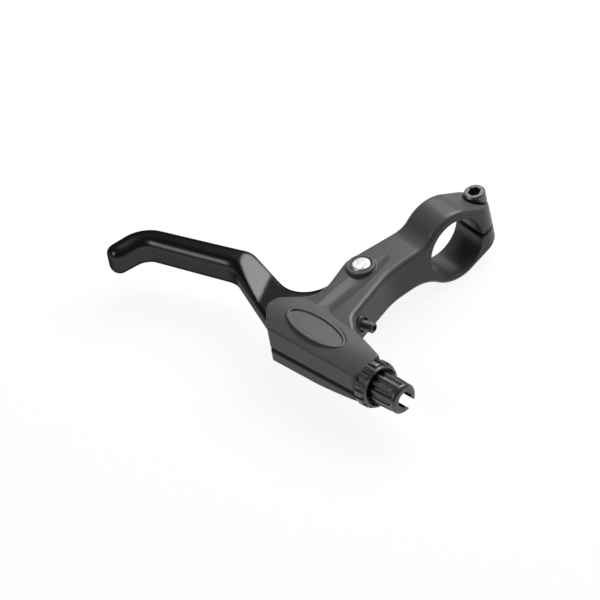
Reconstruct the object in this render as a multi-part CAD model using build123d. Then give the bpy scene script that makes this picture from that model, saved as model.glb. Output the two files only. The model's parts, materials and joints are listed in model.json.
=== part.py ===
from build123d import *
import os
from math import atan2, cos, degrees, radians, sin, sqrt

# Right-hand brake lever for a flat handlebar, in millimetres.
# The origin is the middle of the handlebar bore. +X runs along the bar towards
# the stem, -Y points forward and +Z is parallel to the lever's pivot.

# Handlebar clamp
BAR_DIA = 22.2
CLAMP_WIDTH = 14.6
CLAMP_WALL = 3.0
CLAMP_RISE = 0.5
BORE_CHAMFER = 0.45
LUG_REACH = 19.2
LUG_TOP = 7.3
LUG_BOTTOM = -6.2
LUG_ROUND = 4.5
SPLIT_Z = -2.0
SPLIT_GAP = 1.8

# Clamp bolt
BOLT_DIA = 5.0
BOLT_HEAD_DIA = 7.6
BOLT_HEAD_HEIGHT = 4.6
BOLT_HEX = 4.0
BOLT_HEX_DEPTH = 2.6
BOLT_LENGTH = 15.0
BOLT_Y = 16.0
BOLT_SEAT = 6.7
BOLT_SEAT_MARGIN = 0.8

# Pivot and cable line
PIVOT_X = -3.0
PIVOT_Y = -33.0
HEAD_TURN = 6.3
CABLE_ARM = 34.4
CABLE_Z = 0.7

# Neck
NECK_TOP_AT_CLAMP = 9.4
NECK_TOP_AT_HEAD = 8.5
BODY_BOTTOM = -5.1
NECK_BLEND = 10.0
NECK_UNDER_BLEND = 16.0
BODY_EDGE = 1.8
CLAMP_SWEEP = 20.0
CLAMP_SWEEP_START = 9.0
SWELL_ROUND = 6.5
SWELL_LEAD = 1.5
NECK_OUTER = 5.6
NECK_OUTER_SWEEP = 12.0
NECK_INNER_SWEEP = 28.0
NECK_INNER_LEAD = 3.5
NECK_FLARE = 14.0
NECK_FLARE_ROUND = 5.0
NECK_BURIED = 8.0
RELIEF_DEPTH = 0.8
RELIEF_WIDTH = 9.0
RELIEF_LENGTH = 52.0
RELIEF_X = 4.0
RELIEF_Y = -12.0

# Head
HEAD_FRONT = 8.0
HEAD_LEAN = 2.2
HEAD_END = 36.6
HEAD_END_WIDTH = 13.8
HEAD_TOP = 9.5
HEAD_END_TOP = 8.6
HEAD_CROWN = 40.0
HEAD_CROWN_SHARE = 0.9
HEAD_EDGE = 0.7
HEAD_END_ROUND = 2.6
HEAD_CORNER = 0.5
HEAD_REAR = 2.0
HEAD_REAR_RIGHT = 12.0
HEAD_REAR_LEFT = 3.6
HEAD_SHOULDER = 14.6
HEAD_SHOULDER_DROP = 3.0
HEAD_SHOULDER_ROUND = 2.0
HEAD_SWEEP = 2.0
HEAD_SWEEP_START = 0.0
NOSE_REACH = 14.0
NOSE_CHEEK = 9.5
NOSE_ROUND = 2.5
NOSE_REAR = 14.0
NOSE_REAR_ROUND = 3.0
NOSE_SLANT = 0.6
CABLE_SLOT = 1.9
CABLE_SLOT_DROP = 0.9
OVAL_LENGTH = 28.4
OVAL_WIDTH = 11.2
OVAL_RIM = 1.3
OVAL_DEPTH = 0.45
OVAL_RISE = 0.15
OVAL_TIP = -3.0
OVAL_TILT = 1.0
OVAL_TURN = -4.0
OVAL_X = 8.7
OVAL_Y = 3.2

# Blade
BLADE_MID_Z = 2.0
ROOT_THICKNESS = 7.2
ROOT_WIDTH = 14.0
KNEE_WIDTH = 9.6
GRIP_HEIGHT = 11.2
GRIP_WIDTH = 8.2
TIP_WIDTH = 7.4
GRIP_EDGE = 3.4
ROOT_REACH = 2.0
ROOT_AHEAD = 32.4
KNEE_REACH = 39.7
KNEE_AHEAD = 19.0
HOOK_REACH = 78.4
HOOK_AHEAD = 29.7
TIP_REACH = 2.9
TIP_AHEAD = 14.1
KNEE_INNER = 10.0
KNEE_OUTER = 8.0
HOOK_INNER = 5.5
HOOK_OUTER = 13.0
FLARE_RADIUS = 11.5
FACET_PITCH = 8.2
FACET_ROLL = 4.0
FACET_DROP = 0.2
EYE_RADIUS = 5.9
EYE_HEIGHT = 4.2
ARM_TILT = 12.0
ARM_NECK = 6.0
ARM_LAP = 2.0
ARM_MARGIN = 1.0
SEAT_LEAD = 4.0
NIPPLE_DIA = 7.2
NIPPLE_WALL = 1.1
NIPPLE_CHEEK = 2.6
NIPPLE_ROOF = 1.6
ARM_CABLE_SLOT = 2.2

# Lever pocket in the bracket
POCKET_CLEAR = 0.3
SWING_CLEAR = 0.5
WINDOW_CLEAR = 1.4

# Pivot pin, bushes and spring
PIN_DIA = 6.0
PIN_HEAD_DIA = 7.2
PIN_HEAD_HEIGHT = 2.3
PIN_HEAD_DOME = 0.7
PIN_HEAD_PROUD = 0.3
PIN_BOSS_DIA = 10.4
PIN_BOSS_RISE = 0.6
PIN_FOOT_RISE = 1.2
PIN_SCREW_DIA = 4.0
PIN_SCREW_HEAD_DIA = 6.8
PIN_SCREW_HEAD = 1.8
PIN_SCREW_LENGTH = 6.0
PIN_SCREW_HEX = 2.5
BUSH_WALL = 1.0
BUSH_FLANGE = 0.8
BUSH_FLANGE_DIA = 10.4
SPRING_WIRE = 0.8
SPRING_PITCH = 0.95
SPRING_TURNS = 2
SPRING_SIDES = 16
SPRING_TANG = 1.4

# Reach screw
REACH_DIA = 4.0
REACH_LENGTH = 10.2
REACH_HEX = 2.0
REACH_HEX_DEPTH = 2.4
REACH_ALONG = 19.0
REACH_BOSS_DIA = 7.0
REACH_BOSS_END = 5.8
REACH_SINK_DIA = 5.4
REACH_SINK_DEPTH = 1.2

# Lock ring and barrel adjuster
THREAD_DIA = 9.0
THREAD_DEPTH = 14.0
RING_DIA = 16.9
RING_LENGTH = 4.6
RING_RIDGES = 16
RING_GROOVE_WIDTH = 1.3
RING_GROOVE_DEPTH = 0.8
RING_LIP = 1.1
RING_RECESS_DIA = 13.8
RING_RECESS_DEPTH = 2.8
BARREL_BASE_DIA = 11.8
BARREL_TIP_DIA = 11.0
BARREL_LENGTH = 13.9
BARREL_BEVEL = 0.8
BARREL_FLUTES = 12
FLUTE_DIA = 1.9
FLUTE_END = 2.6
FERRULE_DIA = 6.1
FERRULE_DEPTH = 8.0
CABLE_HOLE = 2.4
BARREL_SLOT = 3.4
SLOT_TURN = -56.0

# Clearances: shafts in holes, screws under heads, flat faces that run or rest
SHAFT_FIT = 0.02
RUNNING_FIT = 0.05
HOLE_FIT = 0.25
FACE_GAP = 0.12

# Worked out from the sizes above
LEVER = Location((PIVOT_X, PIVOT_Y, 0), (0, 0, HEAD_TURN))
CABLE = LEVER * Pos(0, -CABLE_ARM, CABLE_Z)
REACH = LEVER * Rot(0, 0, ARM_TILT) * Pos(EYE_RADIUS, -REACH_ALONG, BLADE_MID_Z)
RING_OUTER = BAR_DIA / 2 + CLAMP_WALL
FRONT_Y = -(CABLE_ARM + HEAD_FRONT)
HEAD_SLOPE = (HEAD_TOP - HEAD_END_TOP) / (NOSE_REACH + HEAD_END)
CROWN_Y = FRONT_Y + HEAD_END_WIDTH * HEAD_CROWN_SHARE
ROOT_START = (-ROOT_REACH, -ROOT_AHEAD)
KNEE = (-KNEE_REACH, -KNEE_AHEAD)
HOOK = (-HOOK_REACH, -HOOK_AHEAD)
TIP = (-HOOK_REACH - TIP_REACH, -HOOK_AHEAD - TIP_AHEAD)
ROOT_TOP = BLADE_MID_Z + ROOT_THICKNESS / 2
ROOT_BOTTOM = BLADE_MID_Z - ROOT_THICKNESS / 2
POCKET_TOP = ROOT_TOP + POCKET_CLEAR
POCKET_BOTTOM = ROOT_BOTTOM - POCKET_CLEAR
EYE_TOP = ROOT_BOTTOM + EYE_HEIGHT
ARM_FRONT = sqrt(SEAT_LEAD**2 + CABLE_ARM**2) + NIPPLE_DIA / 2 + NIPPLE_WALL
BUSH_RADIUS = PIN_DIA / 2 + RUNNING_FIT + BUSH_WALL
SPRING_RADIUS = BUSH_RADIUS + HOLE_FIT + SPRING_WIRE / 2
PIN_BOSS_TOP = NECK_TOP_AT_CLAMP + PIN_BOSS_RISE
PIN_SEAT = PIN_BOSS_TOP + PIN_HEAD_PROUD - PIN_HEAD_HEIGHT
PIN_FOOT = BODY_BOTTOM - PIN_FOOT_RISE
PIN_SCREW_SEAT = PIN_FOOT + PIN_SCREW_HEAD
RING_START = HEAD_END + FACE_GAP
RING_END = RING_START + RING_LENGTH
BARREL_START = RING_END - RING_RECESS_DEPTH + HOLE_FIT
FAR = 100.0


def rounded_face(corners):
    """Closed outline from (x, y, corner radius) rows."""
    points = [(x, y) for x, y, _ in corners]
    radii = [radius for _, _, radius in corners]
    return make_face(FilletPolyline(*points, radius=radii, close=True).edges())


def prism(face, bottom, top):
    """Upright prism of a flat outline between two heights."""
    return extrude(Pos(0, 0, bottom) * face, top - bottom)


def post(diameter, bottom, top):
    """Upright round bar on the Z axis between two heights."""
    upright = (Align.CENTER, Align.CENTER, Align.MIN)
    return Pos(0, 0, bottom) * Cylinder(diameter / 2, top - bottom, align=upright)


def rod(diameter, start, end):
    """Round bar along the X axis between two places."""
    return Rot(0, 90, 0) * post(diameter, start, end)


def hex_socket(across, depth):
    """Hexagonal hole, open upwards at Z = 0."""
    return Pos(0, 0, -depth) * extrude(RegularPolygon(across / sqrt(3), 6), depth + 1)


def round_long_edges(body, radius, skip):
    """Round the edges between walls and top or bottom, but not those near a place."""
    edges = [
        edge
        for edge in body.edges()
        if abs((edge % 0.5).Z) < 0.9 and not skip(edge @ 0.5, edge % 0.5)
    ]
    return fillet(edges, radius)


def side_profile():
    """Clamp and neck seen along the bar: a ring with a lug behind and a beam in front."""
    lug_y = LUG_REACH + LUG_ROUND
    ring = Pos(0, CLAMP_RISE) * Circle(RING_OUTER)
    lug_z = LUG_BOTTOM + LUG_ROUND
    foot = Pos(lug_y, lug_z) * Circle(LUG_ROUND)
    lug = [(0, lug_z), (lug_y, lug_z), (lug_y, LUG_TOP), (0, LUG_TOP)]
    front = PIVOT_Y - CABLE_ARM + HEAD_FRONT
    beam = [(0, BODY_BOTTOM), (front, BODY_BOTTOM), (front, NECK_TOP_AT_HEAD), (0, NECK_TOP_AT_CLAMP)]
    outline = make_hull([ring.edge(), foot.edge()])
    outline += make_face(Polyline(*lug, close=True).edges())
    outline += make_face(Polyline(*beam, close=True).edges())
    for z, radius in ((NECK_TOP_AT_CLAMP, NECK_BLEND), (BODY_BOTTOM, NECK_UNDER_BLEND)):
        corner = (-sqrt(RING_OUTER**2 - (z - CLAMP_RISE) ** 2), z)
        outline = fillet(outline.vertices().sort_by_distance(corner)[:1], radius)
    lug_corner = (BOLT_Y - BOLT_HEAD_DIA / 2, LUG_TOP)
    return fillet(outline.vertices().sort_by_distance(lug_corner)[:1], LUG_ROUND)


def plan_outline():
    """Clamp and neck seen from above: round lug, swelling at the pivot, flare at the head."""
    half = CLAMP_WIDTH / 2
    swell = PIVOT_X - PIN_BOSS_DIA / 2 - BODY_EDGE
    flare = PIVOT_Y - CABLE_ARM / 2
    buried = flare - NECK_BURIED
    return rounded_face(
        [
            (half, LUG_REACH, half * 0.95),
            (-half, LUG_REACH, half * 0.95),
            (-half, -CLAMP_SWEEP_START, CLAMP_SWEEP),
            (swell, PIVOT_Y - SWELL_LEAD, SWELL_ROUND),
            (-NECK_OUTER, PIVOT_Y - 2 * SWELL_ROUND, NECK_OUTER_SWEEP),
            (-NECK_OUTER * 0.9, flare - SWELL_LEAD, NECK_OUTER_SWEEP / 3),
            (-NECK_OUTER * 1.8, buried, 0),
            (NECK_FLARE + 1.5 * NECK_BURIED, buried, 0),
            (NECK_FLARE, flare, NECK_FLARE_ROUND),
            (half, PIVOT_Y + NECK_INNER_LEAD, NECK_INNER_SWEEP),
        ]
    )


def neck_and_clamp():
    """Side profile and plan crossed, with the long edges rounded."""
    side = extrude(Plane.YZ * side_profile(), FAR, both=True)
    body = side & prism(plan_outline(), -FAR, FAR)
    front = body.bounding_box().min.Y
    return round_long_edges(
        body, BODY_EDGE, lambda place, way: abs(way.X) > 0.99 or place.Y < front + 2.0
    )


def crown_height(x, y):
    """Height of the head's top, which is crowned and falls towards the barrel."""
    sag = HEAD_CROWN - sqrt(HEAD_CROWN**2 - (y - CROWN_Y) ** 2)
    return HEAD_TOP - HEAD_SLOPE * (x + NOSE_REACH) - sag


def crown():
    """Block under the head's crowned top."""
    half = HEAD_CROWN / 2
    sag = HEAD_CROWN - sqrt(HEAD_CROWN**2 - half**2)
    arch = ThreePointArc((half, -sag), (0, 0), (-half, -sag))
    base = Polyline((-half, -sag), (-half, -FAR), (half, -FAR), (half, -sag))
    section = make_face([arch, *base.edges()])
    block = extrude(Plane.YZ * section, FAR, both=True)
    return Pos(-NOSE_REACH, CROWN_Y, HEAD_TOP) * Rot(0, degrees(HEAD_SLOPE), 0) * block


def head_sweep():
    """Long hollow that lifts the head's lower front edge towards the lock ring."""
    length = HEAD_END - HEAD_SWEEP_START
    radius = (length**2 + HEAD_SWEEP**2) / (2 * HEAD_SWEEP)
    middle = radius - sqrt(radius**2 - length**2 / 4)
    arc = ThreePointArc((0, 0), (length / 2, -middle), (length, -HEAD_SWEEP))
    over = length + FACE_GAP
    rest = Polyline((length, -HEAD_SWEEP), (over, -HEAD_SWEEP), (over, length), (0, length), (0, 0))
    edge = Plane(origin=(HEAD_SWEEP_START, FRONT_Y, BODY_BOTTOM), x_dir=(1, 0, 0), z_dir=(0, 1, -1))
    return extrude(edge * make_face([arc, *rest.edges()]), HEAD_FRONT, both=True)


def head_block():
    """Head in the lever's frame: square end for the adjuster, slanted cheek, round nose."""
    end_rear = FRONT_Y + HEAD_END_WIDTH
    rear = -CABLE_ARM / 2 - HEAD_REAR
    cheek = NOSE_REACH - NOSE_CHEEK
    corner = HEAD_EDGE + HEAD_CORNER
    outline = rounded_face(
        [
            (-cheek, FRONT_Y, 0),
            (HEAD_END, FRONT_Y, 0),
            (HEAD_END, end_rear, corner),
            (HEAD_SHOULDER, rear - HEAD_SHOULDER_DROP, HEAD_SHOULDER_ROUND),
            (HEAD_REAR_RIGHT, rear, corner),
            (-HEAD_REAR_LEFT, rear, corner),
            (-NOSE_REACH + NOSE_SLANT, FRONT_Y + NOSE_REAR, NOSE_REAR_ROUND),
            (-NOSE_REACH, FRONT_Y + NOSE_CHEEK, NOSE_ROUND),
        ]
    )
    block = prism(outline, BODY_BOTTOM, HEAD_TOP + HEAD_FRONT) & crown()
    lean = degrees(atan2(HEAD_LEAN, HEAD_TOP - BODY_BOTTOM))
    ahead = Box(2 * FAR, FAR, FAR, align=(Align.CENTER, Align.MAX, Align.CENTER))
    block -= Pos(0, FRONT_Y, BODY_BOTTOM) * Rot(-lean, 0, 0) * ahead
    upright = [edge for edge in block.edges() if abs((edge % 0.5).Z) > 0.9]
    front = ShapeList(upright).sort_by(Axis.Y)[:2].sort_by(Axis.X)
    block = fillet(front[:1], corner)
    block = fillet(block.edges().sort_by_distance(front[1] @ 0.5)[:1], HEAD_END_ROUND)
    return round_long_edges(block, HEAD_EDGE, lambda place, way: False) - head_sweep()


def oval_frame():
    """Frame of the plain oval on the head's top, tipped so that its front stands proud."""
    y = OVAL_Y - CABLE_ARM
    height = crown_height(OVAL_X, y) + OVAL_RISE
    return Pos(OVAL_X, y, height) * Rot(OVAL_TIP, OVAL_TILT + degrees(HEAD_SLOPE), OVAL_TURN)


def oval(inset):
    """Outline of the oval, or one inside it."""
    return Ellipse(OVAL_LENGTH / 2 - inset, OVAL_WIDTH / 2 - inset)


def oval_pad():
    """Solid under the oval's rim."""
    return oval_frame() * extrude(oval(0), -HEAD_EDGE * 2)


def oval_cut():
    """Everything above the oval's rim and its slightly lower plain field."""
    return oval_frame() * (prism(oval(0), 0, HEAD_FRONT) + prism(oval(OVAL_RIM), -OVAL_DEPTH, HEAD_FRONT))


def neck_relief():
    """Long soft trough in the neck's top, deepest before the head and fading at the clamp."""
    hollow = RELIEF_WIDTH**2 / (8 * RELIEF_DEPTH)
    sweep_radius = RELIEF_LENGTH**2 / (8 * RELIEF_DEPTH)
    trough = Rot(0, 90, 0) * Torus(sweep_radius - hollow, hollow)
    top = (NECK_TOP_AT_CLAMP + NECK_TOP_AT_HEAD) / 2
    slope = (NECK_TOP_AT_CLAMP - NECK_TOP_AT_HEAD) / (CABLE_ARM - HEAD_FRONT - PIVOT_Y)
    bottom = Pos(RELIEF_X, RELIEF_Y, top - RELIEF_DEPTH) * Rot(degrees(slope), 0, 0)
    ahead = Box(FAR, FAR, FAR, align=(Align.CENTER, Align.MAX, Align.CENTER))
    return LEVER * bottom * (Pos(0, 0, sweep_radius) * trough & Pos(0, RELIEF_LENGTH / 2, 0) * ahead)


def lever_pocket():
    """Space that the arm swings in: open outboard, closed by a web and the front wall."""
    eye = Circle(EYE_RADIUS + SWING_CLEAR)
    arc = Circle(ARM_FRONT + SWING_CLEAR)
    web = Rot(0, 0, ARM_TILT) * Pos(EYE_RADIUS + SWING_CLEAR + FAR / 2, 0) * Rectangle(FAR, 2 * FAR)
    behind = Pos(0, EYE_RADIUS / 2 + FAR / 2) * Rectangle(2 * FAR, FAR)
    outline = arc - web - behind + eye
    return prism(outline, POCKET_BOTTOM, POCKET_TOP)


def pivot_boss():
    """Raised collar above the pin's head and a plainer one below for its screw."""
    collar = post(PIN_BOSS_DIA, POCKET_TOP, PIN_BOSS_TOP)
    collar = chamfer(collar.edges().group_by(Axis.Z)[-1], PIN_BOSS_RISE * 0.6)
    foot = post(PIN_BOSS_DIA, PIN_FOOT, POCKET_BOTTOM)
    return collar + chamfer(foot.edges().group_by(Axis.Z)[0], PIN_BOSS_RISE * 0.6)


def pivot_holes():
    """Pin hole, head recess, screw recess and the spring's anchor hole."""
    hole = post(PIN_DIA + 2 * SHAFT_FIT, PIN_FOOT - 1, PIN_BOSS_TOP + 1)
    recess = post(PIN_HEAD_DIA + 2 * HOLE_FIT, PIN_SEAT, PIN_BOSS_TOP + 1)
    foot = post(PIN_SCREW_HEAD_DIA + 2 * HOLE_FIT, PIN_FOOT - 1, PIN_SCREW_SEAT)
    return hole + recess + foot + spring_leg(1, HOLE_FIT / 2)


def nipple_window():
    """Hole under the nipple seat, where the cable's end goes in."""
    dia = NIPPLE_DIA + 2 * WINDOW_CLEAR
    return Pos(SEAT_LEAD, -CABLE_ARM) * post(dia, BODY_BOTTOM - 1, BLADE_MID_Z)


def cable_cuts():
    """Slot along the head's front and the adjuster's threaded hole, on the cable line."""
    depth = HEAD_FRONT + CABLE_SLOT / 2 + 1
    length = HEAD_END + NOSE_REACH + 2
    middle = Pos((HEAD_END - NOSE_REACH) / 2, CABLE_SLOT / 2 - depth / 2, -CABLE_SLOT_DROP)
    slot = middle * Box(length, depth, CABLE_SLOT)
    return slot + rod(THREAD_DIA + 2 * RUNNING_FIT, HEAD_END - THREAD_DEPTH, HEAD_END + 1)


def reach_boss():
    """Small boss on the neck for the reach screw, on the screw's own axis."""
    start = SWING_CLEAR + 1.0
    boss = rod(REACH_BOSS_DIA, start, REACH_BOSS_END)
    return chamfer(boss.edges().group_by(Axis.X)[-1], 0.5)


def reach_holes():
    """Threaded hole and sunk mouth for the reach screw."""
    hole = rod(REACH_DIA + 2 * RUNNING_FIT, 0, FAR / 4)
    return hole + rod(REACH_SINK_DIA, REACH_BOSS_END - REACH_SINK_DEPTH, FAR / 4)


def clamp_cuts():
    """Bar bore with chamfered mouths, the split and the bolt's holes."""
    bore = rod(BAR_DIA, -FAR, FAR)
    mouth = BAR_DIA / 2 + BORE_CHAMFER
    for side in (-1, 1):
        start = side * (CLAMP_WIDTH / 2 - BORE_CHAMFER)
        cone = Cone(BAR_DIA / 2, mouth, BORE_CHAMFER, align=(Align.CENTER, Align.CENTER, Align.MIN))
        bore += Pos(start, 0, 0) * Rot(0, side * 90, 0) * cone
    split = Pos(0, LUG_REACH / 2 + FAR / 4, SPLIT_Z) * Box(FAR, LUG_REACH + FAR / 2, SPLIT_GAP)
    split = split & Pos(0, FAR / 2, 0) * Box(FAR, FAR, FAR)
    thread = post(BOLT_DIA + 2 * SHAFT_FIT, -FAR / 2, SPLIT_Z)
    clear = post(BOLT_DIA + 2 * HOLE_FIT, SPLIT_Z, FAR / 2)
    seat = post(BOLT_HEAD_DIA + 2 * BOLT_SEAT_MARGIN, BOLT_SEAT, FAR / 2)
    return bore + split + Pos(0, BOLT_Y) * (thread + clear + seat)


def build_bracket():
    """One casting: split clamp, hollow neck and head."""
    solid = neck_and_clamp() - neck_relief()
    solid += LEVER * (head_block() + oval_pad() - oval_cut() + pivot_boss())
    solid += REACH * reach_boss()
    solid -= LEVER * (lever_pocket() + nipple_window())
    solid -= LEVER * pivot_holes()
    solid -= CABLE * cable_cuts()
    solid -= REACH * reach_holes()
    return solid - clamp_cuts()


def build_clamp_bolt():
    """Socket-head screw, from its seat on the upper lug into the lower one."""
    top = BOLT_SEAT + BOLT_HEAD_HEIGHT
    head = post(BOLT_HEAD_DIA, BOLT_SEAT, top)
    head = chamfer(head.edges().group_by(Axis.Z)[-1], 0.5)
    shank = post(BOLT_DIA, BOLT_SEAT - BOLT_LENGTH, BOLT_SEAT)
    shank = chamfer(shank.edges().group_by(Axis.Z)[0], 0.5)
    return Pos(0, BOLT_Y) * (head + shank - Pos(0, 0, top) * hex_socket(BOLT_HEX, BOLT_HEX_DEPTH))


def ribbon(points, halves, rounds):
    """Two sides of a strip that follows points, with a half width and two corner radii at each."""
    spots = [Vector(*point) for point in points]
    ways = [(b - a).normalized() for a, b in zip(spots, spots[1:])]
    sides = {1: [], -1: []}
    for i, spot in enumerate(spots):
        before = ways[max(i - 1, 0)]
        after = ways[min(i, len(ways) - 1)]
        mitre = (before + after).normalized().rotate(Axis.Z, 90)
        square = mitre.dot(before.rotate(Axis.Z, 90))
        for side, radius in zip((1, -1), rounds[i]):
            corner = spot + mitre * (side * halves[i] / square)
            sides[side].append((corner.X, corner.Y, radius))
    return sides


def blade_outline():
    """Finger part seen from above: root, knee, straight grip and hooked tip."""
    points = [ROOT_START, KNEE, HOOK, TIP]
    halves = [ROOT_WIDTH / 2, KNEE_WIDTH / 2, GRIP_WIDTH / 2, TIP_WIDTH / 2]
    tip_round = TIP_WIDTH / 2 * 0.96
    rounds = [(0, 0), (KNEE_INNER, KNEE_OUTER), (HOOK_INNER, HOOK_OUTER), (tip_round, tip_round)]
    sides = ribbon(points, halves, rounds)
    return rounded_face([*sides[1], *reversed(sides[-1])])


def facet_cut():
    """Everything above the slanted facet and the flat top of the root."""
    start = Pos(KNEE[0], KNEE[1] + KNEE_WIDTH / 4, GRIP_HEIGHT / 2 - FACET_DROP)
    block = Box(FAR, FAR, FAR, align=(Align.MIN, Align.CENTER, Align.MIN))
    slant = start * Rot(-FACET_ROLL, FACET_PITCH, 0) * Pos(-KNEE_WIDTH, 0, 0) * block
    above_root = Pos(-FAR, 0, ROOT_THICKNESS / 2) * Box(
        2 * FAR, FAR, FAR, align=(Align.MIN, Align.CENTER, Align.MIN)
    )
    return slant & above_root


def finger_part():
    """Rounded finger part with a flat facet above and below its root."""
    half = GRIP_HEIGHT / 2
    body = prism(blade_outline(), -half, half)
    inner = body.bounding_box().max.X
    body = round_long_edges(body, GRIP_EDGE, lambda place, way: place.X > inner - 4.0)
    body = body - facet_cut() - mirror(facet_cut(), Plane.XY)
    return Pos(0, 0, BLADE_MID_Z) * body


def root_line(x):
    """Middle of the blade's root in plan, at a place along it."""
    slope = (KNEE[1] - ROOT_START[1]) / (KNEE[0] - ROOT_START[0])
    return ROOT_START[1] + (x - ROOT_START[0]) * slope


def arm_outline():
    """Arm seen from above, from the pivot eye to the nipple seat and the finger part."""
    tilt = radians(ARM_TILT)
    tangent = Vector(EYE_RADIUS * cos(tilt), EYE_RADIUS * sin(tilt))
    along = tangent + Vector(sin(tilt), -cos(tilt)) * (CABLE_ARM - ARM_NECK)
    seat_side = SEAT_LEAD + NIPPLE_DIA / 2 + NIPPLE_CHEEK
    half = ROOT_WIDTH / 2
    front_x = -NOSE_REACH + ARM_LAP
    flare_x = -NOSE_REACH - FLARE_RADIUS * 0.7
    inner_x = -EYE_RADIUS * 0.85
    outline = rounded_face(
        [
            (tangent.X, tangent.Y, 0),
            (along.X, along.Y, ARM_NECK),
            (seat_side, -ARM_FRONT - ARM_MARGIN, 0),
            (-SEAT_LEAD, -ARM_FRONT - ARM_MARGIN, 0),
            (front_x, root_line(front_x) - half, 0),
            (flare_x, root_line(flare_x), 0),
            (flare_x, root_line(flare_x) + half * 0.84, 0),
            (inner_x, root_line(inner_x) + half, FLARE_RADIUS),
            (-EYE_RADIUS * 0.98, -ARM_MARGIN, 0),
        ]
    )
    return (outline & Circle(ARM_FRONT)) + Circle(EYE_RADIUS)


def build_blade():
    """One forging: finger part, arm, pivot eye and nipple seat."""
    arm = prism(arm_outline(), ROOT_BOTTOM, ROOT_TOP)
    solid = arm + finger_part()
    solid -= post(2 * (EYE_RADIUS + HOLE_FIT), EYE_TOP, FAR)
    solid -= post(2 * (BUSH_RADIUS + SHAFT_FIT), -FAR, FAR)
    solid -= post(BUSH_FLANGE_DIA + 2 * HOLE_FIT, -FAR, ROOT_BOTTOM + BUSH_FLANGE - FACE_GAP)
    solid -= spring_leg(-1, HOLE_FIT / 2)
    seat = Pos(SEAT_LEAD, -CABLE_ARM)
    solid -= seat * post(NIPPLE_DIA, -FAR, ROOT_TOP - NIPPLE_ROOF)
    mouth = Box(FAR, FAR, ARM_CABLE_SLOT, align=(Align.MIN, Align.MAX, Align.CENTER))
    solid -= seat * Pos(0, ARM_CABLE_SLOT / 2, CABLE_Z) * mouth
    return LEVER * solid


def build_pivot_pin():
    """Plain domed head and a smooth shank, tapped from below."""
    head = post(PIN_HEAD_DIA, PIN_SEAT, PIN_SEAT + PIN_HEAD_HEIGHT)
    head = fillet(head.edges().group_by(Axis.Z)[-1], PIN_HEAD_DOME)
    shank = post(PIN_DIA, PIN_SCREW_SEAT + FACE_GAP, PIN_SEAT)
    tapped = post(PIN_SCREW_DIA + 2 * SHAFT_FIT, -FAR, PIN_SCREW_SEAT + PIN_SCREW_LENGTH + 0.5)
    return LEVER * (head + shank - tapped)


def build_pivot_screw():
    """Low-headed screw that holds the pin from below."""
    head = post(PIN_SCREW_HEAD_DIA, PIN_FOOT, PIN_SCREW_SEAT)
    head = chamfer(head.edges().group_by(Axis.Z)[0], 0.4)
    shank = post(PIN_SCREW_DIA, PIN_SCREW_SEAT, PIN_SCREW_SEAT + PIN_SCREW_LENGTH)
    socket = Rot(180, 0, 0) * hex_socket(PIN_SCREW_HEX, PIN_SCREW_HEAD * 0.7)
    return LEVER * (head + shank - Pos(0, 0, PIN_FOOT) * socket)


def bush(bottom, top):
    """Plain sleeve that runs on the pin."""
    return post(2 * BUSH_RADIUS, bottom, top) - post(PIN_DIA + 2 * RUNNING_FIT, -FAR, FAR)


def build_lower_bush():
    """Sleeve in the eye's lower half, with a flange that runs on the pocket's floor."""
    bottom = ROOT_BOTTOM - FACE_GAP
    sleeve = bush(bottom, ROOT_BOTTOM + EYE_HEIGHT / 2)
    flange = post(BUSH_FLANGE_DIA, bottom, bottom + BUSH_FLANGE)
    return LEVER * (sleeve + flange - post(PIN_DIA + 2 * RUNNING_FIT, -FAR, FAR))


def build_upper_bush():
    """Sleeve from the eye's upper half through the spring to the pocket's roof."""
    return LEVER * bush(ROOT_BOTTOM + EYE_HEIGHT / 2 + FACE_GAP, POCKET_TOP - FACE_GAP)


def spring_leg(side, margin):
    """Straight end of the spring: 1 stands up into the bracket, -1 down into the blade."""
    face = POCKET_TOP if side > 0 else EYE_TOP
    end = face + side * (SPRING_TANG + margin)
    middle = (EYE_TOP + POCKET_TOP) / 2
    return Pos(SPRING_RADIUS, 0) * post(SPRING_WIRE + 2 * margin, min(end, middle), max(end, middle))


def spring_line():
    """Corners of the wire: out of the blade's eye, round the pin and up into the bracket."""
    start = (EYE_TOP + POCKET_TOP - SPRING_PITCH * SPRING_TURNS) / 2
    corners = [(SPRING_RADIUS, 0, EYE_TOP - SPRING_TANG)]
    for i in range(SPRING_TURNS * SPRING_SIDES + 1):
        turn = radians(360 / SPRING_SIDES * i)
        height = start + SPRING_PITCH / SPRING_SIDES * i
        corners.append((SPRING_RADIUS * cos(turn), SPRING_RADIUS * sin(turn), height))
    return [*corners, (SPRING_RADIUS, 0, POCKET_TOP + SPRING_TANG)]


def build_return_spring():
    """Torsion spring round the upper bush, bent from one wire in short straight lengths."""
    line = Polyline(*spring_line())
    wire = Plane(origin=line @ 0, z_dir=line % 0) * Circle(SPRING_WIRE / 2)
    return LEVER * sweep(wire, path=line, transition=Transition.RIGHT)


def build_reach_screw():
    """Socket set screw; its round inner end stops the blade."""
    screw = rod(REACH_DIA, FACE_GAP, REACH_LENGTH)
    screw = fillet(screw.edges().group_by(Axis.X)[0], REACH_DIA * 0.3)
    screw = chamfer(screw.edges().group_by(Axis.X)[-1], 0.35)
    socket = Pos(REACH_LENGTH, 0, 0) * Rot(0, 90, 0) * hex_socket(REACH_HEX, REACH_HEX_DEPTH)
    return REACH * (screw - socket)


def slot_box(width, reach, start, end):
    """Radial slot along the barrel, from its axis outwards."""
    low = (Align.MIN, Align.MIN, Align.CENTER)
    return Pos(start, 0, 0) * Rot(SLOT_TURN, 0, 0) * Box(end - start, reach, width, align=low)


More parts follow.
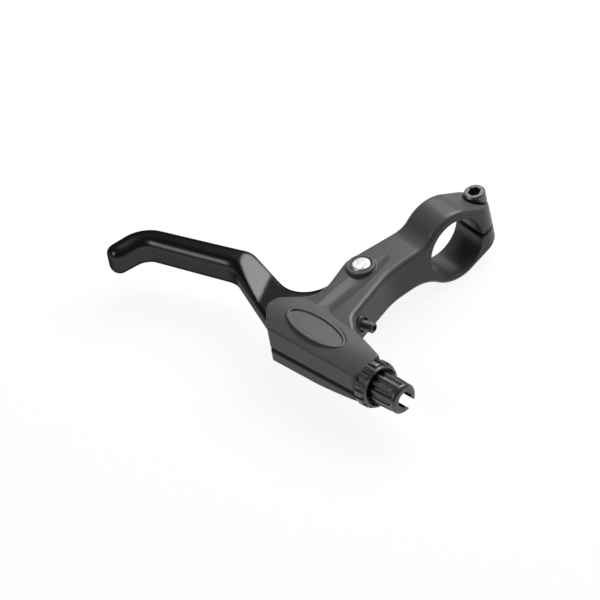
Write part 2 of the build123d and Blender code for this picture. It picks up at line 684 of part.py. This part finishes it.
def build_lock_ring():
    """Ridged ring with a hollow outer end and a slot for the cable."""
    outer = RING_DIA / 2
    lip = outer - RING_GROOVE_DEPTH
    ring = rod(RING_DIA, RING_START, RING_END - RING_LIP)
    ring = chamfer(ring.edges().group_by(Axis.X)[-1], RING_GROOVE_DEPTH * 0.6)
    low = (Align.MIN, Align.MIN, Align.CENTER)
    groove = Box(RING_LENGTH, RING_GROOVE_DEPTH, RING_GROOVE_WIDTH, align=low)
    step = 360 / RING_RIDGES
    for i in range(RING_RIDGES):
        ring -= Rot(i * step, 0, 0) * Pos(RING_START, lip, 0) * groove
    ring += rod(2 * lip, RING_START, RING_END)
    ring -= rod(THREAD_DIA + 2 * RUNNING_FIT, -FAR, FAR)
    ring -= rod(RING_RECESS_DIA, RING_END - RING_RECESS_DEPTH, FAR)
    return CABLE * (ring - slot_box(BARREL_SLOT, outer + 1, RING_START - 1, RING_END + 1))


def barrel_body():
    """Turned shape of the adjuster: threaded shank and tapered grip with bevelled ends."""
    base = BARREL_BASE_DIA / 2
    tip = BARREL_TIP_DIA / 2
    start = HEAD_END - THREAD_DEPTH + HOLE_FIT
    end = BARREL_START + BARREL_LENGTH
    half = make_face(
        Polyline(
            (start, 0),
            (start, THREAD_DIA / 2),
            (BARREL_START, THREAD_DIA / 2),
            (BARREL_START, base),
            (end, tip),
            (end, 0),
            close=True,
        ).edges()
    )
    corners = [half.vertices().sort_by_distance(spot)[0] for spot in ((BARREL_START, base), (end, tip))]
    return revolve(chamfer(corners, BARREL_BEVEL), Axis.X)


def build_barrel_adjuster():
    """Hollow screw with a fluted grip, a seat for the housing and a slot along one side."""
    base = BARREL_BASE_DIA / 2
    tip = BARREL_TIP_DIA / 2
    end = BARREL_START + BARREL_LENGTH
    taper = degrees((base - tip) / BARREL_LENGTH)
    solid = barrel_body()
    flute_end = BARREL_LENGTH - FLUTE_END
    point = Rot(0, 90, 0) * Cone(FLUTE_DIA / 2, FLUTE_DIA / 6, FLUTE_DIA / 2)
    flute = rod(FLUTE_DIA, -1, flute_end) + Pos(flute_end + FLUTE_DIA / 4, 0, 0) * point
    flute = Pos(BARREL_START, 0, base) * Rot(0, taper, 0) * flute
    step = 360 / BARREL_FLUTES
    for i in range(BARREL_FLUTES):
        solid -= Rot((i + 0.5) * step + SLOT_TURN, 0, 0) * flute
    solid -= rod(CABLE_HOLE, -FAR, FAR)
    solid -= rod(FERRULE_DIA, end - FERRULE_DEPTH, FAR)
    return CABLE * (solid - slot_box(BARREL_SLOT, base + 1, -FAR, FAR))


BUILDERS = {
    "bracket": build_bracket,
    "clamp_bolt": build_clamp_bolt,
    "blade": build_blade,
    "pivot_pin": build_pivot_pin,
    "pivot_screw": build_pivot_screw,
    "upper_bush": build_upper_bush,
    "lower_bush": build_lower_bush,
    "return_spring": build_return_spring,
    "reach_screw": build_reach_screw,
    "lock_ring": build_lock_ring,
    "barrel_adjuster": build_barrel_adjuster,
}

os.makedirs("parts", exist_ok=True)
for name, builder in BUILDERS.items():
    solid = builder()
    export_step(solid, f"parts/{name}.step")
    print(name, round(solid.volume, 1))
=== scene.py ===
# %% [markdown]
# # Bicycle brake lever
# The solids of this lever come ready made from the CAD model, so this lesson is
# mostly about looks: where the camera stands, how each metal and plastic is
# finished, and how the light falls. Two small pieces, the threaded reach screw and
# the return spring, are built here as meshes. Everything is in metres and in the
# CAD model's own frame.

# %% Load the solids
import json
import math

import bmesh
import bpy
from mathutils import Matrix, Vector


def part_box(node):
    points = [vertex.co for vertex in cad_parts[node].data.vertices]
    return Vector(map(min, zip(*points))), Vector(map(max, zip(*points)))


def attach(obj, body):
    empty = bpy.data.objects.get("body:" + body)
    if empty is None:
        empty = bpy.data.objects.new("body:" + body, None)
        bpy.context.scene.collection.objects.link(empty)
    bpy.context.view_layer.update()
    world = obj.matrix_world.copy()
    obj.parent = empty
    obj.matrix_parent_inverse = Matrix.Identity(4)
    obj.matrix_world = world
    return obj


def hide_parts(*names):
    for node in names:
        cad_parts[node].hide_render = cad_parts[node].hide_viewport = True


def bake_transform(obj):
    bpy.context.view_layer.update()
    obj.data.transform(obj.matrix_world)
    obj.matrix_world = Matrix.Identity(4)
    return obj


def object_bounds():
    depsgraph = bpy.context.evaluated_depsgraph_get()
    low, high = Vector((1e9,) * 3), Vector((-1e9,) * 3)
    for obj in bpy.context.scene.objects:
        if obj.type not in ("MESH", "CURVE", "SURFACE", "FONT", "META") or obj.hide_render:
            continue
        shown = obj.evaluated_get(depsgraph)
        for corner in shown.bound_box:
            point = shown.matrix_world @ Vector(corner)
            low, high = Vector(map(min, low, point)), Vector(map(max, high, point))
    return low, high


MM = 0.001

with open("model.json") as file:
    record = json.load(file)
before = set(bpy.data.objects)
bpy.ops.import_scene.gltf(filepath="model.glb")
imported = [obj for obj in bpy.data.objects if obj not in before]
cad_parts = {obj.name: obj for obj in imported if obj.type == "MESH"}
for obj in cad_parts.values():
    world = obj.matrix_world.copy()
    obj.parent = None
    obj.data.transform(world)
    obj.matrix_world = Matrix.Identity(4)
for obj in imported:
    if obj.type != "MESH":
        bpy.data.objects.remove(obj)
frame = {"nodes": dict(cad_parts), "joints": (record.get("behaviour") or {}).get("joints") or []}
nodes = frame["nodes"]
cad_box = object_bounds()
print("solids loaded:", ", ".join(sorted(nodes)))

# %% [markdown]
# ## Camera
# A catalogue picture is taken from far away with a long lens, so that parallel
# edges stay parallel. The camera is given by three angles: how far it is turned
# round the lever, how high it stands and how much it is rolled. Its axes are
# worked out from those and put straight into the camera's matrix.

# %% Place the camera
VIEW_TURN = math.radians(59.15)
VIEW_RISE = math.radians(41.3)
VIEW_ROLL = math.radians(-12.7)
PICTURE_SIDE = 600
PIXELS_PER_METRE = 2910
BAR_CENTRE_PIXEL = (443.9, 239.5)
CAMERA_DISTANCE = 5.0
FAR_LIMIT = 20.0
SENSOR_WIDTH_MM = 36.0


def view_axes():
    """Right, up and towards-the-camera directions of the picture."""
    level = Vector((math.cos(VIEW_TURN), math.sin(VIEW_TURN), 0))
    towards = Vector((math.sin(VIEW_TURN), -math.cos(VIEW_TURN), 0)) * math.cos(VIEW_RISE)
    towards.z = math.sin(VIEW_RISE)
    upright = towards.cross(level)
    right = level * math.cos(VIEW_ROLL) + upright * math.sin(VIEW_ROLL)
    return right, towards.cross(right), towards


def place_camera():
    """Long-lens camera whose picture has the bar's centre at its pixel."""
    right, up, towards = view_axes()
    across = (PICTURE_SIDE / 2 - BAR_CENTRE_PIXEL[0]) / PIXELS_PER_METRE
    above = (BAR_CENTRE_PIXEL[1] - PICTURE_SIDE / 2) / PIXELS_PER_METRE
    place = right * across + up * above + towards * CAMERA_DISTANCE
    facing = Matrix((right, up, towards)).transposed().to_4x4()
    data = bpy.data.cameras.new("catalogue_camera")
    data.sensor_width = SENSOR_WIDTH_MM
    data.lens = SENSOR_WIDTH_MM * CAMERA_DISTANCE * PIXELS_PER_METRE / PICTURE_SIDE
    data.clip_end = FAR_LIMIT
    camera = bpy.data.objects.new("catalogue_camera", data)
    camera.matrix_world = Matrix.Translation(place) @ facing
    bpy.context.collection.objects.link(camera)
    bpy.context.scene.camera = camera
    return camera


camera = place_camera()
print("lens:", round(camera.data.lens), "mm")

# %% [markdown]
# ## Grey paint: the shader
# The bracket is an aluminium casting under satin grey paint, and that paint is the
# first finish to be made. Every finish on the lever is a Principled shader fed by
# noise. A painted image would do too, but each solid would have to be unwrapped for
# it, and noise needs no such map. Values that are the same all over are set on the
# shader's own sockets, and a short helper does that for all the finishes.

# %% Start the paint
def add_node(tree, kind, **sockets):
    """Add one node and set the sockets that are named."""
    made = tree.nodes.new(kind)
    for name, value in sockets.items():
        made.inputs[name.replace("_", " ")].default_value = value
    return made


def new_finish(name, **sockets):
    """Material with a Principled shader; constants are set on its own sockets."""
    material = bpy.data.materials.new(name)
    material.use_nodes = True
    shader = material.node_tree.nodes["Principled BSDF"]
    for socket, value in sockets.items():
        shader.inputs[socket.replace("_", " ")].default_value = value
    return material, material.node_tree, shader


paint, paint_tree, paint_shader = new_finish("satin_grey_paint", Specular_IOR_Level=0.36)
print("started:", paint.name)

# %% [markdown]
# ## Grey paint: tone and polish
# Real paint and metal are never one flat colour. A noise texture gives a mask, and
# the mask moves the colour between two close tones and the roughness between two
# close values, so that highlights break up a little. The noise runs on object
# coordinates, which are metres here, so a grain's size can be given in real
# millimetres and doesn't slide when the blade swings.

# %% Wander between two tones
NOISE_DETAIL = 3.0
NOISE_ROUGHNESS = 0.55
RAMP_ENDS = (0.3, 0.7)


def grain(tree, size, detail=NOISE_DETAIL):
    """Noise whose spots are about this size across."""
    place = add_node(tree, "ShaderNodeTexCoord")
    noise = add_node(
        tree, "ShaderNodeTexNoise", Scale=1 / size, Detail=detail, Roughness=NOISE_ROUGHNESS
    )
    tree.links.new(place.outputs["Object"], noise.inputs["Vector"])
    return noise.outputs["Fac"]


def tint(tree, shader, mask, dark, pale):
    """Colour that wanders between two tones."""
    ramp = add_node(tree, "ShaderNodeValToRGB")
    for end, position, tone in zip(ramp.color_ramp.elements, RAMP_ENDS, (dark, pale)):
        end.position = position
        end.color = (*tone, 1)
    tree.links.new(mask, ramp.inputs["Fac"])
    tree.links.new(ramp.outputs["Color"], shader.inputs["Base Color"])


def polish(tree, shader, mask, low, high):
    """Roughness that wanders between two values."""
    spread = add_node(tree, "ShaderNodeMapRange", To_Min=low, To_Max=high)
    tree.links.new(mask, spread.inputs["Value"])
    tree.links.new(spread.outputs["Result"], shader.inputs["Roughness"])


paint_cloud = grain(paint_tree, size=12 * MM)
tint(
    paint_tree,
    paint_shader,
    paint_cloud,
    dark=(0.060, 0.061, 0.063),
    pale=(0.072, 0.073, 0.074),
)
polish(paint_tree, paint_shader, paint_cloud, low=0.30, high=0.37)
print("nodes in the paint so far:", len(paint_tree.nodes))

# %% [markdown]
# ## Grey paint: bumps and soft edges
# Casting, forging and moulding all leave edges a little round, and paint rounds
# them more. The edges could be bevelled in the mesh, but the Bevel node does it in
# the shading: it averages the normals within a radius, so that every edge catches
# a thin line of light. The bumps are then laid over those softened normals. Paint
# over a casting keeps a faint orange peel, so its bumps are about ten microns high.

# %% Soften and emboss
BEVEL_SAMPLES = 8


def emboss(tree, shader, mask, height, edge):
    """Small bumps of a real height, on edges that look rounded to this radius."""
    soft = add_node(tree, "ShaderNodeBevel", Radius=edge)
    soft.samples = BEVEL_SAMPLES
    bump = add_node(tree, "ShaderNodeBump", Distance=height)
    tree.links.new(soft.outputs["Normal"], bump.inputs["Normal"])
    tree.links.new(mask, bump.inputs["Height"])
    tree.links.new(bump.outputs["Normal"], shader.inputs["Normal"])


def coat(node, material):
    """Put a finish on a solid from the CAD model."""
    for slot in nodes[node].material_slots:
        slot.material = material
    print(node, "has", material.name)


paint_peel = grain(paint_tree, size=0.6 * MM)
emboss(paint_tree, paint_shader, paint_peel, height=0.012 * MM, edge=0.5 * MM)
coat("bracket", paint)

# %% [markdown]
# ## Black anodising
# The blade is forged aluminium with a dyed oxide skin, smoother and deeper black
# than the bracket's paint. It could be a black under a gloss coat, but the coat would
# grey the flats. The metal shows through the skin, so the shader is a very dark metal:
# its flats go nearly black and its rounded edges carry long soft highlights. A grey
# specular tint keeps it dark where it is seen at a slant.

# %% Anodise the blade
SLANT_GREY = (0.35, 0.35, 0.35, 1)


def black_anodising():
    """Smooth, very dark metal with wide soft edges."""
    material, tree, shader = new_finish(
        "black_anodised", Metallic=1.0, Specular_Tint=SLANT_GREY
    )
    peel = grain(tree, size=0.8 * MM)
    cloud = grain(tree, size=15 * MM)
    tint(tree, shader, cloud, dark=(0.040, 0.040, 0.041), pale=(0.048, 0.048, 0.049))
    polish(tree, shader, cloud, low=0.23, high=0.29)
    emboss(tree, shader, peel, height=0.010 * MM, edge=2.0 * MM)
    return material


coat("blade", black_anodising())

# %% [markdown]
# ## Black steel
# The screws are steel with a thin black oxide, which is dark but still metal and
# keeps a fine speck from the bath. Each screw could have a material of its own, but
# with one for all of them a change reaches every screw. The CAD reach screw gets it
# too, and so will the threaded one that takes its place further down.

# %% Blacken the screws
def black_oxide():
    """Dark metal with a fine speck and narrow soft edges."""
    material, tree, shader = new_finish("black_oxide_steel", Metallic=0.8)
    speck = grain(tree, size=0.5 * MM)
    tint(tree, shader, speck, dark=(0.09, 0.09, 0.093), pale=(0.13, 0.13, 0.13))
    polish(tree, shader, speck, low=0.30, high=0.40)
    emboss(tree, shader, speck, height=0.001 * MM, edge=0.25 * MM)
    return material


steel = black_oxide()
for screw in ("clamp_bolt", "pivot_screw", "reach_screw"):
    coat(screw, steel)

# %% [markdown]
# ## Polished pin
# The pivot pin's head is the one bright spot. It is pressed and tumbled rather than
# turned, so it has shallow dents about two millimetres wide. Noise without any fine
# detail makes smooth dents of that kind; fine detail would look like sandpaper. A
# wide soft edge turns the rim away from the light, so the bright face ends in grey.

# %% Polish the pin
def polished_steel():
    """Bright metal with smooth dents and a rounded rim."""
    material, tree, shader = new_finish("polished_steel", Metallic=1.0)
    dents = grain(tree, size=2 * MM, detail=0.0)
    tint(tree, shader, dents, dark=(0.50, 0.51, 0.52), pale=(0.60, 0.60, 0.61))
    polish(tree, shader, dents, low=0.32, high=0.40)
    emboss(tree, shader, dents, height=0.05 * MM, edge=1.0 * MM)
    return material


coat("pivot_pin", polished_steel())

# %% [markdown]
# ## Spring and bushes
# These sit inside the bracket and show little, so they get tone and polish but no
# bumps. The spring is bare drawn wire; the bushes are pale acetal, which slides
# without oil.

# %% Finish the spring and the bushes
def spring_wire():
    """Plain steel, a little uneven from drawing."""
    material, tree, shader = new_finish("spring_wire", Metallic=1.0)
    cloud = grain(tree, size=1.5 * MM)
    tint(tree, shader, cloud, dark=(0.36, 0.36, 0.37), pale=(0.46, 0.46, 0.46))
    polish(tree, shader, cloud, low=0.22, high=0.34)
    return material


def bush_plastic():
    """Pale, slightly warm plastic."""
    material, tree, shader = new_finish("bush_plastic")
    cloud = grain(tree, size=2 * MM)
    tint(tree, shader, cloud, dark=(0.55, 0.54, 0.50), pale=(0.63, 0.62, 0.58))
    polish(tree, shader, cloud, low=0.40, high=0.50)
    return material


drawn_wire = spring_wire()
coat("return_spring", drawn_wire)
acetal = bush_plastic()
for sleeve in ("upper_bush", "lower_bush"):
    coat(sleeve, acetal)

# %% [markdown]
# ## Black plastic
# The lock ring and the barrel are moulded in black nylon. It is glossy enough that
# each ridge carries its own highlight, with a very fine grain from the mould. Rounding
# so many ridges in the mesh would add thousands of faces, so the Bevel node rounds
# them in the shading.

# %% Finish the ring and the barrel
def moulded_black():
    """Glossy black plastic with soft edges."""
    material, tree, shader = new_finish("moulded_black_plastic", Specular_IOR_Level=1.0)
    speck = grain(tree, size=0.25 * MM)
    cloud = grain(tree, size=5 * MM)
    tint(tree, shader, cloud, dark=(0.020, 0.020, 0.021), pale=(0.028, 0.028, 0.029))
    polish(tree, shader, cloud, low=0.28, high=0.36)
    emboss(tree, shader, speck, height=0.001 * MM, edge=0.6 * MM)
    return material


nylon = moulded_black()
for knob in ("lock_ring", "barrel_adjuster"):
    coat(knob, nylon)

# %% [markdown]
# ## Reach screw
# This small set screw decides how near the blade rests to the bar, and its thread
# shows where it leaves the bracket. A thread could come from the Screw modifier, but
# that leaves ragged ends. Here it is a stack of rings: each ring's radius follows a
# wave that turns with the angle and climbs one pitch per turn, and a cone at each end
# cuts the wave down to a chamfer, as a lathe would. The axis comes from the joint that
# turns the screw, and the length and the radius from the CAD solid, so the two agree.

# %% Measure the plain screw
def turning_axis(joint_name):
    """A point on a joint's axis and the axis' direction."""
    joint = next(joint for joint in frame["joints"] if joint["name"] == joint_name)
    return Vector(joint["pos_m"]), Vector(joint["axis"]).normalized()


def measure_about(node, anchor, axis):
    """Where a solid starts and ends along an axis, and its radius round it."""
    offsets = [vertex.co - anchor for vertex in nodes[node].data.vertices]
    along = [offset.dot(axis) for offset in offsets]
    radius = max((offset - axis * reach).length for offset, reach in zip(offsets, along))
    return min(along), max(along), radius


screw_anchor, screw_axis = turning_axis("reach_screw_turn")
screw_start, screw_end, screw_radius = measure_about("reach_screw", screw_anchor, screw_axis)
screw_length = screw_end - screw_start
print("screw length", round(screw_length / MM, 2), "mm")
print("screw radius", round(screw_radius / MM, 2), "mm")

# %% [markdown]
# ## Thread and socket
# The rings run from the flat inner end, over the thread, round the rim and down into
# the socket. Every ring has the same number of points, a multiple of six, so the six
# corners of the socket fall on points too.

# %% Lay out the rings
THREAD_PITCH = 1.0 * MM
THREAD_DEPTH = 0.5 * MM
END_CHAMFER = 0.45 * MM
SOCKET_FLATS = 2.0 * MM
SOCKET_DEPTH = 2.4 * MM
SOCKET_BEVEL = 0.08 * MM
CORNER_DEGREES = 60
ROUND_STEPS = 36
PITCH_STEPS = 10


def thread_ring(along):
    """Radius at each angle of one ring on the thread."""
    radii = []
    for step in range(ROUND_STEPS):
        climb = (along - screw_start) / THREAD_PITCH - step / ROUND_STEPS
        thread = screw_radius - THREAD_DEPTH * (0.5 - 0.5 * math.cos(2 * math.pi * climb))
        end_cone = screw_radius - END_CHAMFER + min(along - screw_start, screw_end - along)
        radii.append(min(thread, end_cone))
    return along, radii


def socket_ring(along, wider):
    """Radius at each angle of one six-sided ring."""
    half = CORNER_DEGREES / 2
    radii = []
    for step in range(ROUND_STEPS):
        angle = math.radians((360 * step / ROUND_STEPS + half) % CORNER_DEGREES - half)
        radii.append(SOCKET_FLATS / 2 / math.cos(angle) + wider)
    return along, radii


def screw_rings():
    """All rings in order, from the inner end to the socket's floor."""
    count = round(screw_length / THREAD_PITCH * PITCH_STEPS)
    stations = [screw_start + screw_length * step / count for step in range(count + 1)]
    made = [thread_ring(along) for along in stations]
    made.append(socket_ring(screw_end, SOCKET_BEVEL))
    made.append(socket_ring(screw_end - SOCKET_BEVEL, 0))
    made.append(socket_ring(screw_end - SOCKET_DEPTH, 0))
    return made


rings = screw_rings()
print("rings:", len(rings))

# %% [markdown]
# ## Skin over the rings
# The rings are joined by quads and closed by a fan at each end, which gives one closed
# skin. The fan in the socket runs down to a drill point. The faces are smooth, but the
# edges round the inner end, the rim and the socket stay sharp.

# %% Build the reach screw
DRILL_POINT = 0.5 * MM
RIM_AND_SOCKET_RINGS = 4


def ring_points(mesh, along, radii):
    """Points of one ring, placed round the screw's axis."""
    side = screw_axis.orthogonal().normalized()
    other = screw_axis.cross(side)
    points = []
    for step, radius in enumerate(radii):
        angle = 2 * math.pi * step / ROUND_STEPS
        out = side * math.cos(angle) + other * math.sin(angle)
        points.append(mesh.verts.new(screw_anchor + screw_axis * along + out * radius))
    return points


def threaded_screw():
    """Closed mesh of the set screw with its thread and socket."""
    mesh = bmesh.new()
    loops = [ring_points(mesh, along, radii) for along, radii in rings]
    for near, far in zip(loops, loops[1:]):
        for step in range(ROUND_STEPS):
            after = (step + 1) % ROUND_STEPS
            mesh.faces.new((near[step], near[after], far[after], far[step]))
    tips = (loops[0], screw_start), (loops[-1], screw_end - SOCKET_DEPTH - DRILL_POINT)
    for loop, along in tips:
        tip = mesh.verts.new(screw_anchor + screw_axis * along)
        for step in range(ROUND_STEPS):
            mesh.faces.new((loop[step], loop[(step + 1) % ROUND_STEPS], tip))
    bmesh.ops.recalc_face_normals(mesh, faces=mesh.faces)
    for face in mesh.faces:
        face.smooth = True
    for loop in (loops[0], *loops[-RIM_AND_SOCKET_RINGS:]):
        for step in range(ROUND_STEPS):
            mesh.edges.get((loop[step], loop[(step + 1) % ROUND_STEPS])).smooth = False
    data = bpy.data.meshes.new("threaded_reach_screw")
    mesh.to_mesh(data)
    mesh.free()
    return data


reach_screw = bpy.data.objects.new("threaded_reach_screw", threaded_screw())
reach_screw.data.materials.append(steel)
bpy.context.collection.objects.link(reach_screw)
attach(reach_screw, "reach_screw_body")
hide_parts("reach_screw")
print("reach screw faces:", len(reach_screw.data.polygons))

# %% [markdown]
# ## Return spring
# The spring stands round the pivot pin, with its lower leg in the blade and its upper
# leg in the bracket, and it winds up when the blade is pulled. The CAD solid is bent
# from short straight lengths and stays stiff. Here a NURBS line makes a smooth coil
# out of few points. The legs' place and height are measured on the CAD solid.

# %% Lay out the coil
COIL_TURNS = 2
COIL_PITCH = 0.95 * MM
COIL_POINTS = 32
BEND_ROOM = 0.6 * MM
FOOT_SLICE = 0.01 * MM


def leg_offset(pivot):
    """Level offset of the spring's legs from the pivot's axis."""
    corners = [vertex.co for vertex in nodes["return_spring"].data.vertices]
    lowest = min(corner.z for corner in corners)
    foot = [corner for corner in corners if corner.z < lowest + FOOT_SLICE]
    centre = sum(foot, Vector()) / len(foot)
    return Vector((centre.x - pivot.x, centre.y - pivot.y, 0))


def coil_line(pivot, bottom, top):
    """Points of the wire: up out of the blade, round the pin and up into the bracket."""
    leg = leg_offset(pivot)
    axis = Vector((pivot.x, pivot.y, 0))
    first = (bottom + top - COIL_PITCH * COIL_TURNS) / 2
    last = first + COIL_PITCH * COIL_TURNS
    line = [axis + leg + Vector((0, 0, height)) for height in (bottom, first - BEND_ROOM)]
    for step in range(COIL_TURNS * COIL_POINTS + 1):
        turn = Matrix.Rotation(2 * math.pi * step / COIL_POINTS, 3, "Z")
        line.append(axis + turn @ leg + Vector((0, 0, first + COIL_PITCH * step / COIL_POINTS)))
    return line + [axis + leg + Vector((0, 0, height)) for height in (last + BEND_ROOM, top)]


pivot_point = turning_axis("blade_swing")[0]
spring_bottom, spring_top = (corner[2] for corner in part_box("return_spring"))
wire_line = coil_line(pivot_point, spring_bottom, spring_top)
print("points on the wire:", len(wire_line))

# %% [markdown]
# ## Wire on the line
# A curve's bevel lays a round wire along the line, and the result is kept as a mesh.
# In the real spring the coils near the blade follow the blade, those near the bracket
# stay, and between them it turns smoothly, which is how a torsion spring moves.

# %% Build the spring
WIRE_RADIUS = 0.4 * MM
WIRE_ROUNDNESS = 3
CURVE_ORDER = 4
CURVE_STEPS = 3


def round_wire(name, line, radius):
    """Mesh of a round wire along a smooth line, closed at both ends."""
    curve = bpy.data.curves.new(name, "CURVE")
    curve.dimensions = "3D"
    curve.bevel_depth = radius
    curve.bevel_resolution = WIRE_ROUNDNESS
    curve.use_fill_caps = True
    spline = curve.splines.new("NURBS")
    spline.points.add(len(line) - 1)
    for point, place in zip(spline.points, line):
        point.co = (*place, 1)
    spline.order_u = CURVE_ORDER
    spline.use_endpoint_u = True
    spline.resolution_u = CURVE_STEPS
    draft = bpy.data.objects.new(name + "_draft", curve)
    data = bpy.data.meshes.new_from_object(draft)
    bpy.data.objects.remove(draft)
    data.name = name
    data.shade_smooth()
    return data


wire_mesh = round_wire("wound_return_spring", wire_line, WIRE_RADIUS)
spring = bpy.data.objects.new("wound_return_spring", wire_mesh)
spring.data.materials.clear()
spring.data.materials.append(drawn_wire)
bpy.context.collection.objects.link(spring)
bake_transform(spring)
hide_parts("return_spring")
print("spring faces:", len(spring.data.polygons))

# %% [markdown]
# ## Floor
# The floor is a white sheet under the lever. The camera and the reflections see it
# glow enough to print as white paper, and it still takes a faint soft shadow. The
# glow is hidden from diffuse rays, so that it doesn't light the lever from below. The
# sheet is far larger than the picture, so that a low camera doesn't look past it.

# %% Lay the floor
FLOOR_SIDE = 40.0
FLOOR_GLOW = 0.90
FLOOR_GREY = 0.1


def seen_directly(tree):
    """One for rays from the camera and for those in reflections, else zero."""
    path = add_node(tree, "ShaderNodeLightPath")
    total = path.outputs["Is Camera Ray"]
    for ray in ("Is Glossy Ray", "Is Transmission Ray"):
        both = tree.nodes.new("ShaderNodeMath")
        both.operation = "MAXIMUM"
        tree.links.new(total, both.inputs[0])
        tree.links.new(path.outputs[ray], both.inputs[1])
        total = both.outputs["Value"]
    return total


def white_sheet():
    """Matt white that glows only where it is looked at."""
    material, tree, shader = new_finish("white_sheet", Roughness=0.9, Specular_IOR_Level=0.0)
    shader.inputs["Base Color"].default_value = (FLOOR_GREY, FLOOR_GREY, FLOOR_GREY, 1)
    shader.inputs["Emission Color"].default_value = (1, 1, 1, 1)
    glow = tree.nodes.new("ShaderNodeMath")
    glow.operation = "MULTIPLY"
    glow.inputs[1].default_value = FLOOR_GLOW
    tree.links.new(seen_directly(tree), glow.inputs[0])
    tree.links.new(glow.outputs["Value"], shader.inputs["Emission Strength"])
    return material


def lay_floor(level):
    """One large square at this height."""
    half = FLOOR_SIDE / 2
    ends = (-half, -half), (half, -half), (half, half), (-half, half)
    sheet = bpy.data.meshes.new("floor")
    sheet.from_pydata([(*end, level) for end in ends], [], [(0, 1, 2, 3)])
    floor = bpy.data.objects.new("floor", sheet)
    sheet.materials.append(white_sheet())
    bpy.context.collection.objects.link(floor)


floor_level = cad_box[0][2]
lay_floor(floor_level)
print("floor at", round(floor_level / MM, 2), "mm")

# %% [markdown]
# ## Light
# Black and grey parts are drawn by what they reflect. A wide softbox stands behind the
# lever and high, so that tops and rounded edges shine towards the camera while flat
# black areas miss it and stay dark. A small panel beside it lights the sloped facet at
# the blade's root, a strip in front draws the streak along the grip, and a dim room
# fills the rest. A brightness of one is that of white paper.

# %% Light the room
ROOM_LIGHT = 0.12
LAMPS = {
    "back_softbox": dict(
        towards=(-0.15, 0.89, 1.0), distance=0.6, width=0.62, height=0.38, brightness=7.0
    ),
    "facet_panel": dict(
        towards=(-0.68, 0.54, 1.0), distance=0.54, width=0.11, height=0.11, brightness=6.0
    ),
    "front_strip": dict(
        towards=(-0.3, -1.35, 1.0), distance=1.2, width=0.35, height=0.6, brightness=5.2
    ),
}


def light_room():
    """Dim grey surroundings, so that the softboxes draw the shapes."""
    world = bpy.data.worlds.new("studio")
    world.use_nodes = True
    sky = world.node_tree.nodes["Background"]
    sky.inputs["Color"].default_value = (1, 1, 1, 1)
    sky.inputs["Strength"].default_value = ROOM_LIGHT
    bpy.context.scene.world = world


def softbox(name, towards, distance, width, height, brightness):
    """Panel that faces the lever from a direction; white paper has brightness one."""
    data = bpy.data.lights.new(name, "AREA")
    data.shape = "RECTANGLE"
    data.size = width
    data.size_y = height
    data.energy = brightness * math.pi * width * height
    lamp = bpy.data.objects.new(name, data)
    way = Vector(towards).normalized()
    lamp.location = way * distance
    lamp.rotation_euler = way.to_track_quat("Z", "Y").to_euler()
    bpy.context.collection.objects.link(lamp)
    return lamp


light_room()
lamps = [softbox(name, **settings) for name, settings in LAMPS.items()]
bpy.context.scene.view_settings.view_transform = "Standard"
print("lamps:", ", ".join(lamp.name for lamp in lamps))
